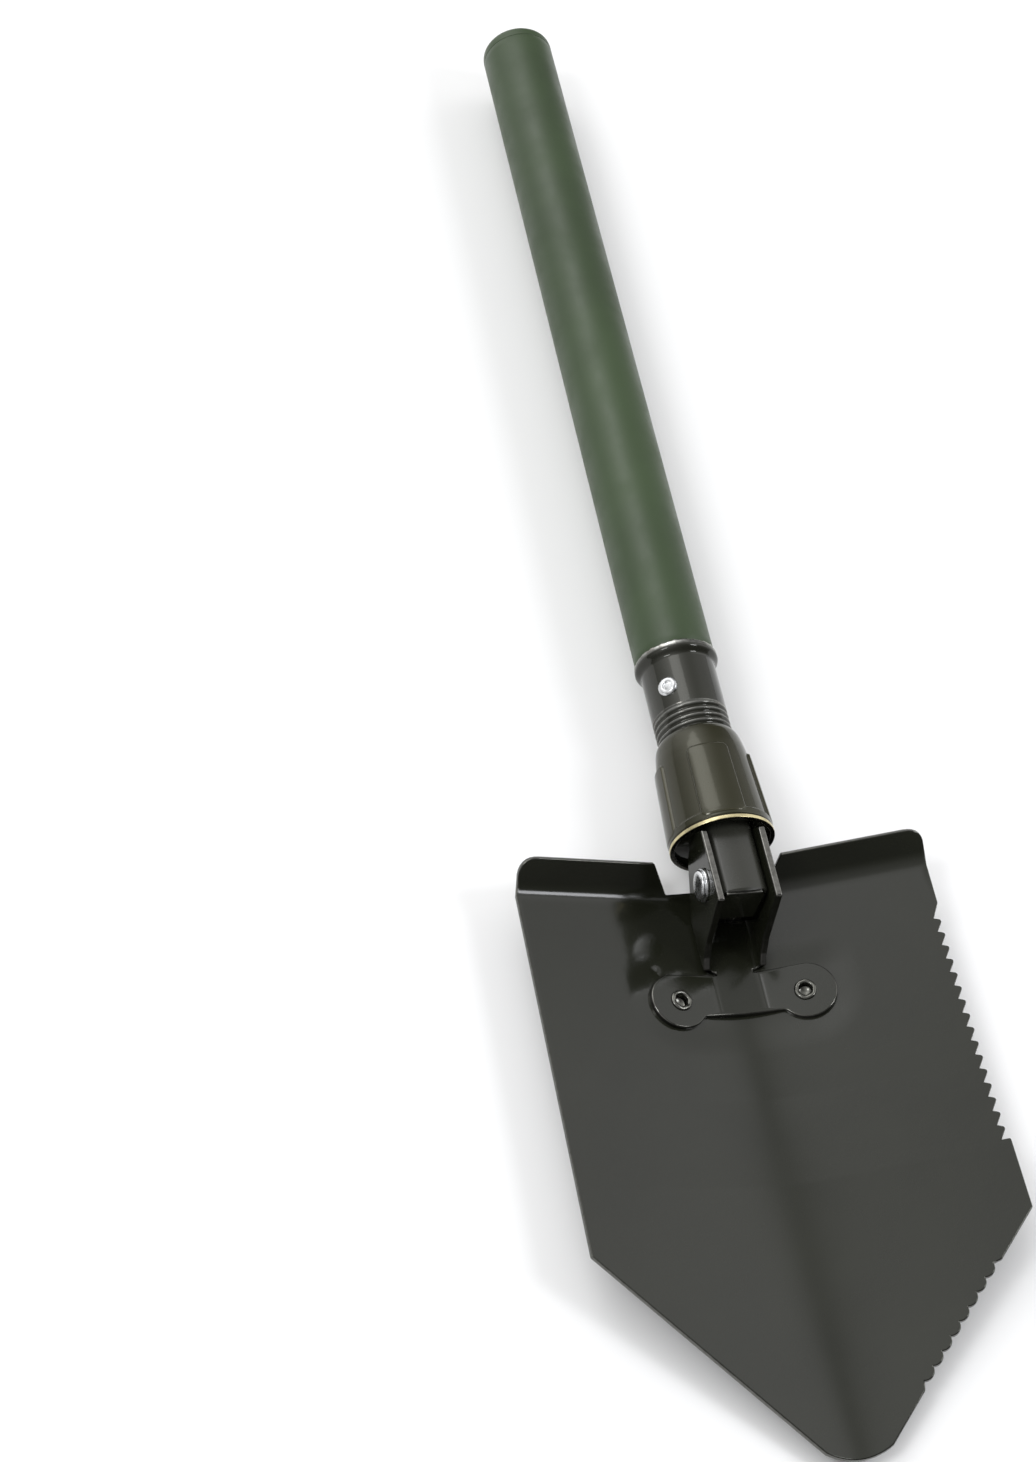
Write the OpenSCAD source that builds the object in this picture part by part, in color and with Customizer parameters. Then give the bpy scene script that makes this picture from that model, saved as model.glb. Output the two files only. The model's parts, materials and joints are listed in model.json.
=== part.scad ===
// Folding camp shovel lying on its back: blade face up (+Z), handle along +Y.
// The collar backs up the threaded neck, and the blade folds about the rivet
// through the ears. Every module is drawn in the hinge frame, where Z = 0 is
// the handle's axis and Y = 0 lies just below the collar's mouth; seat() then
// moves it so that the origin is the bottom centre of the whole shovel.

/* [Handle] */
// Outer diameter of the grip tube
grip_d = 30; // [29:0.5:31]
// Wall of the grip tube
grip_wall = 1.2; // [1:0.1:2]
// Length of the grip tube, from the rim to the cap
grip_len = 324; // [200:1:400]
// Height of the domed cap that closes the butt
cap_h = 7; // [6:0.5:12]

/* [Neck] */
// Outer diameter of the neck and of its thread's crests
neck_d = 27.8; // [27.6:0.1:28]
// Diameter of the rim under the grip tube
rim_d = 31.4; // [31:0.2:34]
// Station of the rim's upper face
rim_y = 82; // [80:0.5:86]
// Pitch of the rolled thread
pitch = 2.5; // [2:0.25:3]
// Depth of the rolled thread
thread_depth = 0.8; // [0.5:0.1:1]
// Width of the flattened tongue
tongue_w = 18; // [17:0.5:18]
// Station of the tongue's free end
tongue_end = -23; // [-24:0.5:-22]

/* [Lock collar] */
// Diameter of the collar at its mouth
collar_d = 38; // [37.5:0.5:40]
// Station of the collar's mouth
mouth_y = 3.4; // [3:0.1:3.6]
// Station of the collar's upper end
collar_top = 46; // [42:0.5:50]
// Height of the finger pads above the collar's body
pad_h = 0.9; // [0.5:0.1:1.5]
// Number of finger pads
pad_count = 4; // [3:1:4]
// Angle that each finger pad covers
pad_angle = 50; // [40:2:60]

/* [Blade] */
// Width of the blade
blade_w = 153; // [140:1:170]
// Length of the blade, from the fold of the treads to the tip
blade_len = 208.6; // [195:0.2:230]
// Length of the blade's parallel sides
side_len = 136.6; // [125:0.2:140]
// Thickness of the blade's sheet
blade_t = 1.8; // [1.5:0.1:2]
// Rise of the dish per unit of width
dish_slope = 0.24; // [0.2:0.01:0.3]
// Angle by which the tip half turns up
tip_lift = 3; // [1:0.5:4]
// Height of each foot tread, measured along the sheet
tread_h = 12.3; // [8:0.1:13]
// Angle of the treads from the blade
tread_angle = 55; // [35:1:65]
// Number of saw teeth
tooth_count = 16; // [4:1:18]
// Pitch of the saw teeth
tooth_pitch = 5.4; // [4:0.1:6]
// Number of scallops on the lower edge
scallop_count = 8; // [3:1:10]
// Pitch of the scallops
scallop_pitch = 5.9; // [5:0.1:6.5]

/* [Hinge] */
// Thickness of the bracket's sheet
ear_t = 2.5; // [2:0.1:3]
// Diameter of the hinge rivet's shank
pin_d = 6; // [5:0.5:6]
// Distance of each blade rivet from the middle
rivet_x = 23.4; // [22:0.2:26]

/* [Hidden] */
$fn = 96;
eps = 0.01;

olive = [0.24, 0.27, 0.21];
black = [0.12, 0.12, 0.11];
drab = [0.2, 0.2, 0.17];
zinc = [0.72, 0.62, 0.3];
steel = [0.75, 0.76, 0.78];
wood = [0.66, 0.52, 0.34];

grip_r = grip_d / 2;
bore_r = grip_r - grip_wall;
neck_r = neck_d / 2;
root_r = neck_r - thread_depth;
neck_bore_r = root_r - 1.2;
butt_y = rim_y + grip_len + cap_h;
rivet_seat = neck_r - 0.5;    // the flats under the neck rivet's heads
press = 0.05;    // radial gap of pieces pushed together for good
run = 0.05;      // radial gap of a running fit
gap = 0.3;       // gap between pieces that move past each other

// Stations along the neck, from the butt end down
spigot_top = rim_y + 24;
rim_low = rim_y - 1.7;
bell_low = rim_y - 4.5;
thread_top = 57.5;
thread_low = 25;
core_top = spigot_top - 2;
core_low = 52;
rivet_y = 65.4;
rivet_turn = -41;    // of the neck's rivet, from the face towards -X

// Tongue: a box section pressed in the neck's lower end
tongue_top = 12;
tongue_low = -10;
tongue_wall = 2;
tongue_round = 3;

// Collar
collar_r = collar_d / 2;
collar_bore_r = neck_r + gap;
ring_top = mouth_y + 1.9;
ring_r = collar_r + 0.1;
lip_r = 17.4;
plate_r = lip_r + 0.35;
plate_low = ring_top + gap;
plate_t = 2;
seat_top = plate_low + plate_t + gap;
flange_top = ring_top + 2.3;
waist_r = collar_r - 1.9;    // of the tapered body at its shoulder
shoulder_y = collar_top - 12.5;
pad_low = ring_top + 1.2;
pad_top = collar_top - 10;
first_pad = -98.7;    // middle of the first pad, seen along the handle

// Hinge
hinge_y = -14;
hinge_z = 3.5;
ear_in = tongue_w / 2 + 0.25;
ear_out = ear_in + ear_t;
ear_front = 14;
ear_reach = plate_low - gap - hinge_y;    // radius that the ears' ends sweep
ear_foot = -26;
pin_r = pin_d / 2;
washer_t = 1;

// Blade
fold_y = -4.4;
tip_y = fold_y - blade_len;
shoulder = fold_y - side_len;
half_w = blade_w / 2;
dish_z = -24.1;      // of the point where the two wings' faces would meet
dish_round = 9;      // softens the valley between the wings
pocket_drop = 0.5;   // the pressed pocket that the bracket sits in
pocket_w = 36;       // half the pocket's width
pocket_y = -60;
tread_in = 19;       // where each tread starts
tread_corner = 9;
bead_r = blade_t / 2 + 0.1;    // rounds the fold between blade and tread
tip_half = 11.3;
tip_bulge = 3;
lift_y = -120;       // where the tip half starts to turn up
tooth_start = -23.3;
tooth_depth = 3.1;
tooth_bite = 0.9;
scallop_start = 24.2;
scallop_deep = 1.6;
scallop_r = 3.6;

// Bracket base and its rivets
base_y = -53.5;
base_top = -17;
base_gap = 0.05;
lug_y = -47.6;
lug_r = 10.5;
shank_r = 2.9;
eyelet_r = 2.4;
eyelet_head_r = 3.9;

// Height of the dished face at a distance x from the middle
function dish(x) = dish_z + dish_slope * sqrt(x * x + dish_round * dish_round);
// Slope of the dished face there, in degrees
function dish_angle(x) = atan(dish_slope * x / sqrt(x * x + dish_round * dish_round));
// Smooth step from 0 to 1
function ease(t) = (1 - cos(180 * t)) / 2;

dish_xs = concat([-80, -50], [for (i = [-8:8]) 3 * i], [50, 80]);
floor_z = dish(0) - pocket_drop - blade_t;
mid_y = (butt_y + tip_y) / 2;
lug_top = ear_t * cos(dish_angle(rivet_x)) + base_gap;

// ---------- helpers ----------

// Moves the hinge frame to the shovel's bottom centre
module seat() translate([0, -mid_y, -floor_z]) children();

// Stands a shape drawn on +Z along the handle, from station y
module along_y(y = 0) translate([0, y, 0]) rotate([-90, 0, 0]) children();

// Ring or solid turned about the handle's axis
module turned(r, y0, y1, hole = 0) along_y(y0) difference() {
    cylinder(r = r, h = y1 - y0);
    if (hole > 0)
        translate([0, 0, -1]) cylinder(r = hole, h = y1 - y0 + 2);
}

// Solid of revolution from a list of [radius, station]
module lathe(points) along_y() rotate_extrude() polygon(points);

// Prism of an XZ outline between two stations
module prism_y(y0, y1) translate([0, y1, 0]) rotate([90, 0, 0])
    linear_extrude(y1 - y0) children();

// Prism of a YZ outline between two values of x
module prism_x(x0, x1) translate([x0, 0, 0]) rotate([90, 0, 90])
    linear_extrude(x1 - x0) children();

// Pin along X through the hinge's axis
module pin(r, x0, x1) translate([x0, hinge_y, hinge_z])
    rotate([0, 90, 0]) cylinder(r = r, h = x1 - x0);

// Box section with two round corners on top
module arched(w, low, top, r) {
    translate([-w / 2, low]) square([w, top - r - low]);
    translate([-w / 2 + r, low]) square([w - 2 * r, top - low]);
    for (side = [-1, 1])
        translate([side * (w / 2 - r), top - r]) circle(r = r);
}

// Puts a rivet's own axis square to the dished face at the lugs
module at_rivet(side) translate([side * rivet_x, lug_y, dish(rivet_x) - pocket_drop])
    rotate([0, -side * dish_angle(rivet_x), 0]) children();

// ---------- handle ----------

module grip_tube() color(olive) turned(grip_r, rim_y, rim_y + grip_len, bore_r);

module butt_cap() color(olive) {
    low = rim_y + grip_len;
    dome = [for (i = [0:8]) [
        grip_r - 4 + 4 * cos(i * 90 / 8),
        butt_y - 4.5 + 3.5 * sin(i * 90 / 8)
    ]];
    lathe(concat([[0, low], [grip_r, low]], dome, [[6, butt_y - 0.25], [0, butt_y]]));
    turned(bore_r - press, low - 12, low + 1, bore_r - 2);
}

// Rolled thread: round crests, one every pitch
function thread_profile() = [
    for (y = [thread_low : pitch : thread_top - pitch], k = [0:5])
        [root_r + thread_depth * (k > 3 ? 0 : sin(k * 60 > 120 ? 60 : 45 + k * 30)),
         y + pitch * k / 6]
];

module neck() color(black) {
    bell = [for (i = [0:8]) [
        neck_r + (rim_d / 2 - neck_r) * ease(i / 8),
        bell_low + (rim_low - bell_low) * i / 8
    ]];
    difference() {
        union() {
            lathe(concat(
                [[0, thread_low - 2], [root_r, thread_low - 2]],
                thread_profile(),
                [[neck_r, thread_top]],
                bell,
                [[rim_d / 2, rim_y - 0.6], [rim_d / 2 - 0.5, rim_y]],
                [[bore_r - press, rim_y], [bore_r - press, spigot_top], [0, spigot_top]]
            ));
            prism_y(tongue_end, thread_low) difference() {
                arched(tongue_w, tongue_low, tongue_top, tongue_round);
                translate([0, -eps]) arched(
                    tongue_w - 2 * tongue_wall, tongue_low - 1,
                    tongue_top - tongue_wall, tongue_round - 1.5
                );
            }
            prism_y(tongue_end, tongue_end + tongue_wall)
                arched(tongue_w, tongue_low, tongue_top, tongue_round);
        }
        turned(neck_bore_r, thread_low - 2 + tongue_wall, spigot_top + 1);
        pin(pin_r + run, -20, 20);
        neck_rivet_axis() {
            cylinder(r = shank_r + press, h = 40, center = true);
            for (end = [0, 180])
                rotate([0, end, 0]) translate([0, 0, rivet_seat]) cylinder(r = 3.85, h = 4);
        }
    }
}

// The neck's rivet crosses the axis, turned away from the face, and its heads sit on flats
module neck_rivet_axis() translate([0, rivet_y, 0]) rotate([0, rivet_turn, 0]) children();

module neck_core() color(wood) difference() {
    turned(neck_bore_r - press, core_low, core_top);
    neck_rivet_axis() cylinder(r = shank_r + press, h = 40, center = true);
}

module neck_rivet() color(steel) neck_rivet_axis() difference() {
    union() {
        cylinder(r = shank_r, h = 2 * neck_r, center = true);
        for (end = [0, 180])
            rotate([0, end, 0]) translate([0, 0, rivet_seat]) {
                cylinder(r = 3.75, h = 1);
                translate([0, 0, 1]) cylinder(r1 = 3.75, r2 = 2.9, h = 0.6);
            }
    }
    translate([0, 0, neck_r - 0.4]) cylinder(r = 1.9, h = 3);
}

// ---------- lock collar ----------

// Radius of the collar's tapered body at a station, up to the shoulder
function body_r(y) =
    collar_r - 0.7 + (waist_r - collar_r + 0.7) * (y - flange_top) / (shoulder_y - flange_top);

module lock_collar() color(drab) {
    crown = [for (i = [0:6]) [
        waist_r - 4.1 + 4.1 * cos(i * 10),
        shoulder_y + (collar_top - 0.4 - shoulder_y) * sin(i * 10) / sin(60)
    ]];
    lathe(concat(
        [[plate_r + gap, ring_top], [collar_r, ring_top], [collar_r, flange_top]],
        [[body_r(flange_top + 0.7), flange_top + 0.7]],
        crown,
        [[collar_bore_r + 0.6, collar_top], [collar_bore_r, collar_top]],
        [[collar_bore_r, 26], [16, 24], [16, seat_top], [plate_r + gap, seat_top]]
    ));
    for (i = [0 : pad_count - 1])
        along_y() rotate([0, 0, first_pad - pad_angle / 2 + 360 / pad_count * i])
            rotate_extrude(angle = pad_angle) polygon([
                [plate_r + gap + 0.1, pad_low], [body_r(pad_low) + pad_h - 0.3, pad_low],
                [body_r(pad_low) + pad_h, pad_low + 0.6],
                [waist_r + pad_h, shoulder_y], [waist_r + pad_h - 0.2, pad_top - 0.8],
                [waist_r + pad_h - 0.8, pad_top], [waist_r - 0.6, pad_top]
            ]);
}

module mouth_ring() color(zinc) turned(ring_r, mouth_y, ring_top, lip_r);

module lock_plate() color(black) difference() {
    turned(plate_r, plate_low, plate_low + plate_t);
    prism_y(0, 20) arched(
        tongue_w + 2 * gap, tongue_low - gap, tongue_top + gap, tongue_round
    );
}

// ---------- blade ----------

// Cross-section of the dished sheet, lowered by drop
module dish_section(drop = 0, up = 0, down = blade_t) polygon(concat(
    [for (x = dish_xs) [x, dish(x) - drop + up]],
    [for (i = [len(dish_xs) - 1 : -1 : 0]) [dish_xs[i], dish(dish_xs[i]) - drop - down]]
));

// Point on the lower right edge: run along it from the shoulder, offset inwards
edge_len = norm([half_w - tip_half, shoulder - tip_y - tip_bulge]);
edge_dir = [tip_half - half_w, tip_y + tip_bulge - shoulder] / edge_len;
function on_edge(run_along, inward) = [
    half_w + edge_dir[0] * run_along + edge_dir[1] * inward,
    shoulder + edge_dir[1] * run_along - edge_dir[0] * inward
];
scallop_end = scallop_start + scallop_count * scallop_pitch;

module blade_outline() {
    tip_r = (tip_half * tip_half + tip_bulge * tip_bulge) / (2 * tip_bulge);
    tip_turn = asin(tip_half / tip_r);
    valley_x = half_w - tooth_depth;
    valley_y = tooth_start - 5.9;
    teeth = [for (i = [0 : tooth_count - 1]) each [
        [valley_x, valley_y - tooth_pitch * i],
        [half_w - tooth_bite, valley_y - tooth_pitch * i - 1]
    ]];
    teeth_end = valley_y - tooth_pitch * tooth_count;
    tip = [for (i = [-6:6]) [
        -tip_r * sin(tip_turn * i / 6),
        tip_y + tip_r - tip_r * cos(tip_turn * i / 6)
    ]];
    polygon(concat(
        [[-half_w, fold_y], [half_w, fold_y], [half_w, tooth_start]],
        teeth,
        [[valley_x, teeth_end], [half_w, teeth_end], [half_w, shoulder]],
        [on_edge(scallop_start - 2.3, 0), on_edge(scallop_start, scallop_deep)],
        [on_edge(scallop_end, scallop_deep), on_edge(scallop_end + 2.3, 0)],
        tip,
        [[-half_w, shoulder]]
    ));
    lobe_in = scallop_deep + sqrt(scallop_r * scallop_r - pow(scallop_pitch / 2, 2));
    for (i = [0 : scallop_count - 1])
        translate(on_edge(scallop_start + (i + 0.5) * scallop_pitch, lobe_in))
            circle(r = scallop_r);
}

module pocket_outline() {
    translate([-pocket_w, pocket_y + 14]) square([2 * pocket_w, 60]);
    translate([-pocket_w + 14, pocket_y]) square([2 * (pocket_w - 14), 60]);
    for (side = [-1, 1])
        translate([side * (pocket_w - 14), pocket_y + 14]) circle(r = 14);
}

// Half space above or below the line where the tip half starts to turn up
module lift_half(above) translate([0, lift_y, -15]) rotate([-tip_lift / 2, 0, 0])
    translate([-100, above ? 0 : -200, -60]) cube([200, 200, 120]);

module tread() {
    rise = dish(half_w) - dish(tread_in);
    slope = atan(rise / (half_w - tread_in));
    tread_w = (half_w - tread_in) / cos(slope);
    inner_cut = 8;
    translate([tread_in, fold_y, dish(tread_in) - blade_t / 2]) rotate([0, -slope, 0]) {
        rotate([tread_angle, 0, 0]) translate([0, 0, -blade_t / 2]) linear_extrude(blade_t) {
            polygon([
                [0, 0], [inner_cut, tread_h], [tread_w - tread_corner, tread_h],
                [tread_w - tread_corner, tread_h - tread_corner],
                [tread_w, tread_h - tread_corner], [tread_w, 0]
            ]);
            translate([tread_w - tread_corner, tread_h - tread_corner])
                circle(r = tread_corner);
        }
        rotate([0, 90, 0]) cylinder(r = bead_r, h = tread_w - bead_r);
    }
}

module blade() color(black) difference() {
    union() {
        intersection() {
            prism_y(-220, fold_y) dish_section();
            translate([0, 0, -60]) linear_extrude(90) difference() {
                blade_outline();
                pocket_outline();
            }
            lift_half(true);
        }
        intersection() {
            prism_y(-220, fold_y) dish_section(pocket_drop);
            translate([0, 0, -60]) linear_extrude(90) intersection() {
                blade_outline();
                pocket_outline();
            }
        }
        intersection() {
            translate([0, lift_y, -15]) rotate([-tip_lift, 0, 0]) translate([0, -lift_y, 15])
                prism_y(-230, -100) dish_section();
            translate([0, 0, -60]) linear_extrude(90) blade_outline();
            lift_half(false);
        }
        tread();
        mirror([1, 0, 0]) tread();
    }
    for (side = [-1, 1])
        at_rivet(side) cylinder(r = shank_r + press, h = 20, center = true);
}

// ---------- hinge ----------

module ear_outline() {
    top = hinge_y + sqrt(pow(ear_reach, 2) - pow(ear_front - hinge_z, 2));
    intersection() {
        polygon([
            [ear_foot + 0.8, ear_front], [top + 10, ear_front], [top + 10, -7],
            [top, -7], [-15.5, dish(ear_in) - pocket_drop + 0.5],
            [-37, dish(ear_in) - pocket_drop + 0.5], [-36, -18.6],
            [-33, -15], [-30.5, -9], [ear_foot, ear_front - 0.8]
        ]);
        union() {
            translate([hinge_y, hinge_z]) circle(r = ear_reach);
            translate([-60, -60]) square([60 + hinge_y, 120]);
            translate([-60, -60]) square([60, 52]);
        }
    }
}

module hinge_bracket() color(black) difference() {
    union() {
        intersection() {
            prism_y(-80, 0) dish_section(pocket_drop, ear_t, -base_gap);
            translate([0, 0, -60]) linear_extrude(90) {
                translate([-ear_out, base_y]) square([2 * ear_out, base_top - base_y]);
                for (side = [-1, 1]) {
                    translate([side * rivet_x, lug_y]) circle(r = lug_r);
                    translate([side > 0 ? 0 : -rivet_x, base_y + 1])
                        square([rivet_x, 12]);
                }
            }
        }
        for (side = [-1, 1])
            prism_x(side > 0 ? ear_in : -ear_out, side > 0 ? ear_out : -ear_in)
                ear_outline();
    }
    pin(pin_r + press, -20, 20);
    for (side = [-1, 1])
        at_rivet(side) cylinder(r = shank_r + press, h = 20, center = true);
}

// Tubular rivet: rolled head on the lug, flat head on the blade's back
module tubular_rivet(side) color(steel) at_rivet(side) difference() {
    union() {
        translate([0, 0, -blade_t]) cylinder(r = shank_r, h = blade_t + ear_t + 0.4);
        translate([0, 0, lug_top]) cylinder(r = eyelet_head_r, h = 0.7);
        translate([0, 0, lug_top + 0.7])
            cylinder(r1 = eyelet_head_r, r2 = eyelet_head_r - 0.6, h = 0.5);
        translate([0, 0, -blade_t - 1.2]) cylinder(r = 5, h = 1.2);
    }
    translate([0, 0, -blade_t + 0.6]) cylinder(r = eyelet_r, h = 12);
}

module rivet_left() tubular_rivet(-1);

module rivet_right() tubular_rivet(1);

// Big domed head on one side, a low hammered head on the other
module hinge_rivet() color(steel) {
    head_x = -ear_out - washer_t;
    pin(pin_r, head_x - 0.5, ear_out + 0.5);
    pin(4.2, ear_out, ear_out + 0.9);
    translate([head_x, hinge_y, hinge_z]) rotate([0, -90, 0]) rotate_extrude()
        polygon(concat(
            [[0, 0], [5.8, 0], [5.8, 0.7]],
            [for (i = [1:6]) [5.8 * cos(i * 15), 0.7 + 1.6 * sin(i * 15)]]
        ));
}

module rivet_washer() color(steel) difference() {
    pin(6.5, -ear_out - washer_t, -ear_out);
    pin(pin_r + press, -20, 0);
}

// Sleeve that keeps the rivet from pinching the hollow tongue
module hinge_spacer() color(steel) difference() {
    half = tongue_w / 2 - tongue_wall - press;
    pin(5, -half, half);
    pin(pin_r + run, -20, 20);
}

seat() grip_tube();
seat() butt_cap();
seat() neck();
seat() neck_core();
seat() neck_rivet();
seat() lock_collar();
seat() mouth_ring();
seat() lock_plate();
seat() blade();
seat() hinge_bracket();
seat() rivet_left();
seat() rivet_right();
seat() hinge_rivet();
seat() rivet_washer();
seat() hinge_spacer();
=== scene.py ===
"""Folding camp shovel on a pale studio floor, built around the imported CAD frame.

Every piece is drawn in millimetres in the hinge frame of the part's source (Y = 0 just below
the collar's mouth, Z = 0 on the handle's axis) and put down in metres in the row frame.
"""
import json
import math

import bmesh
import bpy
import numpy as np
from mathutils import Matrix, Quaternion, Vector
from mathutils.geometry import delaunay_2d_cdt


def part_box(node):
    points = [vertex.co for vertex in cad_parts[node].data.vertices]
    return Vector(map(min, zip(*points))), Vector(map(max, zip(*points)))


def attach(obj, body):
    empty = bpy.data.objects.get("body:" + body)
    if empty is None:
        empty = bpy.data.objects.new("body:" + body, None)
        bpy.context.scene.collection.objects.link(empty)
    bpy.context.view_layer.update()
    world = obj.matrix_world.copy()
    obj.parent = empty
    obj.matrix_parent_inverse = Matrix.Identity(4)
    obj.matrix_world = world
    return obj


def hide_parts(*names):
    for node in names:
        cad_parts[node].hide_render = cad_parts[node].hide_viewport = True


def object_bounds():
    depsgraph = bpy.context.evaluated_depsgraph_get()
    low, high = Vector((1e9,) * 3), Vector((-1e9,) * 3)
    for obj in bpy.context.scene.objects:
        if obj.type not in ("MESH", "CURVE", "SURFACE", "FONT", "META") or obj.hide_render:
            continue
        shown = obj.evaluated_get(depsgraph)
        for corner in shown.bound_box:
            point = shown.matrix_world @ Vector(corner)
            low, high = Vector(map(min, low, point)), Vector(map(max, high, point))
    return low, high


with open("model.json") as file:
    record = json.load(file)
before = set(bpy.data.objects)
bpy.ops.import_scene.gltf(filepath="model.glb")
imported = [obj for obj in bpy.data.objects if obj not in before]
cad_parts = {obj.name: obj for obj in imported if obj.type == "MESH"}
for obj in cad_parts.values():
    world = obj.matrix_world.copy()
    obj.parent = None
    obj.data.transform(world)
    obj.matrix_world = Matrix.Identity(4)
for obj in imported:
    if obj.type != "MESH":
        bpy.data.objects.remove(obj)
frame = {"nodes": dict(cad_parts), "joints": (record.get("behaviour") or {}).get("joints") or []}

cad_lo, cad_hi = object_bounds()

# ---------------------------------------------------------------- the frame's own places

MM = 0.001
MOUTH_Y = 3.4
grip_lo, grip_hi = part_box("grip_tube")
neck_lo, neck_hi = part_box("neck")
ring_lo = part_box("mouth_ring")[0]
ORIGIN = Vector((
    (grip_lo.x + grip_hi.x) / 2,
    ring_lo.y - MOUTH_Y * MM,
    (grip_lo.z + grip_hi.z) / 2,
))


def local(point, axis):
    """One coordinate of a row-frame point, in millimetres in the hinge frame."""
    return (point[axis] - ORIGIN[axis]) / MM


GRIP_R = (grip_hi.x - grip_lo.x) / 2 / MM
RIM_R = (neck_hi.x - neck_lo.x) / 2 / MM
RIM_Y = local(grip_lo, 1)
CAP_Y = local(grip_hi, 1)
BUTT_Y = local(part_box("butt_cap")[1], 1)
COLLAR_TOP = local(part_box("lock_collar")[1], 1)
TIP_Y = local(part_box("blade")[0], 1)
hinge = next(j for j in frame["joints"] if j["name"] == "blade_fold")
HINGE_Y = local(hinge["pos_m"], 1)
HINGE_Z = local(hinge["pos_m"], 2)

# Sizes that the frame doesn't tell, nearly all as in the part's source
GRIP_WALL = 1.2
NECK_R = 13.9
ROOT_R = 13.1           # at the bottom of the thread
NECK_BORE_R = 11.9
PITCH = 2.5
NECK_RIVET_Y = 65.4
TONGUE_HALF = 9.0
TONGUE_TOP = 12.0
TONGUE_LOW = -10.0
TONGUE_END = -22.9
SHEET_T = 2.0           # of the tongue, its end wall and the lock plate
COLLAR_R = 19.0
COLLAR_LOW = 5.3        # where the collar stands on the mouth ring
PLATE_LOW = 5.6
PAD_H = 0.9
BLADE_T = 1.8
HALF_W = 76.5
FOLD_Y = -4.4           # the fold between the blade and its treads
SHOULDER_Y = -141.0     # where the sides turn in towards the tip
EAR_T = 2.5
EAR_IN = 9.25           # half the way between the ears
RIVET_X = 23.4
LUG_Y = -47.6
HOLE_R = 2.9            # of the blade rivets' holes
DENT = (-29.4, -35.5)   # a knock beside the left lug
HANDLE_AXIS = dict(axis_at=(0, 0, 0), axis_to=(0, 1, 0))

# ---------------------------------------------------------------- mesh helpers


def add_piece(name, verts, faces, material, body, slot, stands_for=(), normals=None, wear_and_painted_light=None):
    """A mesh piece from hinge-frame millimetres, riding on a body and replacing CAD nodes."""
    points = np.asarray(verts, float) * MM + np.array(ORIGIN)
    mesh = bpy.data.meshes.new(name)
    mesh.from_pydata(points.tolist(), [], [tuple(int(i) for i in f) for f in faces])
    mesh.validate()
    mesh.update()
    mesh.polygons.foreach_set("use_smooth", [True] * len(mesh.polygons))
    # The attribute marks rubbed places, and on some pieces painted highlight and painted shade.
    if wear_and_painted_light is not None:
        attribute = mesh.attributes.new("wear_and_painted_light", "FLOAT", "POINT")
        attribute.data.foreach_set("value", np.asarray(wear_and_painted_light, np.float32))
    piece = bpy.data.objects.new(name, mesh)
    bpy.context.scene.collection.objects.link(piece)
    mesh.materials.append(material)
    if normals is not None:
        mesh.normals_split_custom_set_from_vertices(np.asarray(normals, float).tolist())
    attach(piece, body)
    if stands_for:
        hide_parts(*stands_for)
    return piece


def smooth(t):
    """Smooth step from 0 to 1."""
    t = np.clip(t, 0, 1)
    return t * t * (3 - 2 * t)


def circle(x, y, r, count):
    """Points round a circle."""
    return [(x + r * math.cos(a), y + r * math.sin(a))
            for a in np.linspace(0, 2 * math.pi, count, endpoint=False)]


def rounded(points, radius, steps=5, closed=True):
    """A polyline with its corners rounded; radius is one number or one for each corner."""
    radii = radius if isinstance(radius, (list, tuple)) else [radius] * len(points)
    pts = [Vector(p) for p in points]
    count = len(pts)
    result = []
    for i, p in enumerate(pts):
        if not closed and i in (0, count - 1) or radii[i] <= 0:
            result.append(p)
            continue
        back = pts[i - 1] - p
        ahead = pts[(i + 1) % count] - p
        turn = math.pi - back.angle(ahead)
        if turn < 1e-3:
            result.append(p)
            continue
        reach = radii[i] * math.tan(turn / 2)
        reach = min(reach, back.length * 0.49, ahead.length * 0.49)
        start = p + back.normalized() * reach
        end = p + ahead.normalized() * reach
        for k in range(steps + 1):
            t = k / steps
            result.append((1 - t) ** 2 * start + 2 * t * (1 - t) * p + t * t * end)
    return result


def turned(name, profile, axis_at, axis_to, segments=128, shape=None, worn=None, **piece):
    """A solid of revolution. profile is a closed loop or an open line that starts and ends on the
    axis, as (radius, height) pairs; shape(radius, height, angle) may change each point, and
    worn(radius, height, angle) gives each point's value for rubbed places, painted highlight and
    painted shade."""
    axis = Vector(axis_to).normalized()
    spin = Vector((0, 0, 1)).rotation_difference(axis).to_matrix()
    angles = [2 * math.pi * k / segments for k in range(segments)]
    verts, rows, wear_and_painted_light = [], [], []
    for r, h in profile:
        if r < 1e-6:
            rows.append([len(verts)])
            verts.append(spin @ Vector((0, 0, h)) + Vector(axis_at))
            wear_and_painted_light.append(0)
            continue
        rows.append(list(range(len(verts), len(verts) + segments)))
        for a in angles:
            out, up = (r, h) if shape is None else shape(r, h, a)
            verts.append(spin @ Vector((out * math.cos(a), out * math.sin(a), up)) + Vector(axis_at))
            wear_and_painted_light.append(0 if worn is None else worn(r, h, a))
    faces = []
    closed = len(rows[0]) > 1
    pairs = list(zip(rows, rows[1:] + rows[:1])) if closed else list(zip(rows, rows[1:]))
    for low, high in pairs:
        for k in range(segments):
            n = (k + 1) % segments
            if len(low) == 1:
                faces.append((low[0], high[n], high[k]))
            elif len(high) == 1:
                faces.append((low[k], low[n], high[0]))
            else:
                faces.append((low[k], low[n], high[n], high[k]))
    finish_normals(add_piece(name, [tuple(v) for v in verts], faces, wear_and_painted_light=wear_and_painted_light, **piece))


def finish_normals(obj, angle=40):
    """Faces turned outwards, and edges sharper than the angle shaded as edges."""
    bm = bmesh.new()
    bm.from_mesh(obj.data)
    bmesh.ops.recalc_face_normals(bm, faces=bm.faces)
    limit = math.radians(angle)
    for edge in bm.edges:
        edge.smooth = len(edge.link_faces) == 2 and edge.calc_face_angle(0) < limit
    bm.to_mesh(obj.data)
    bm.free()


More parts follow.
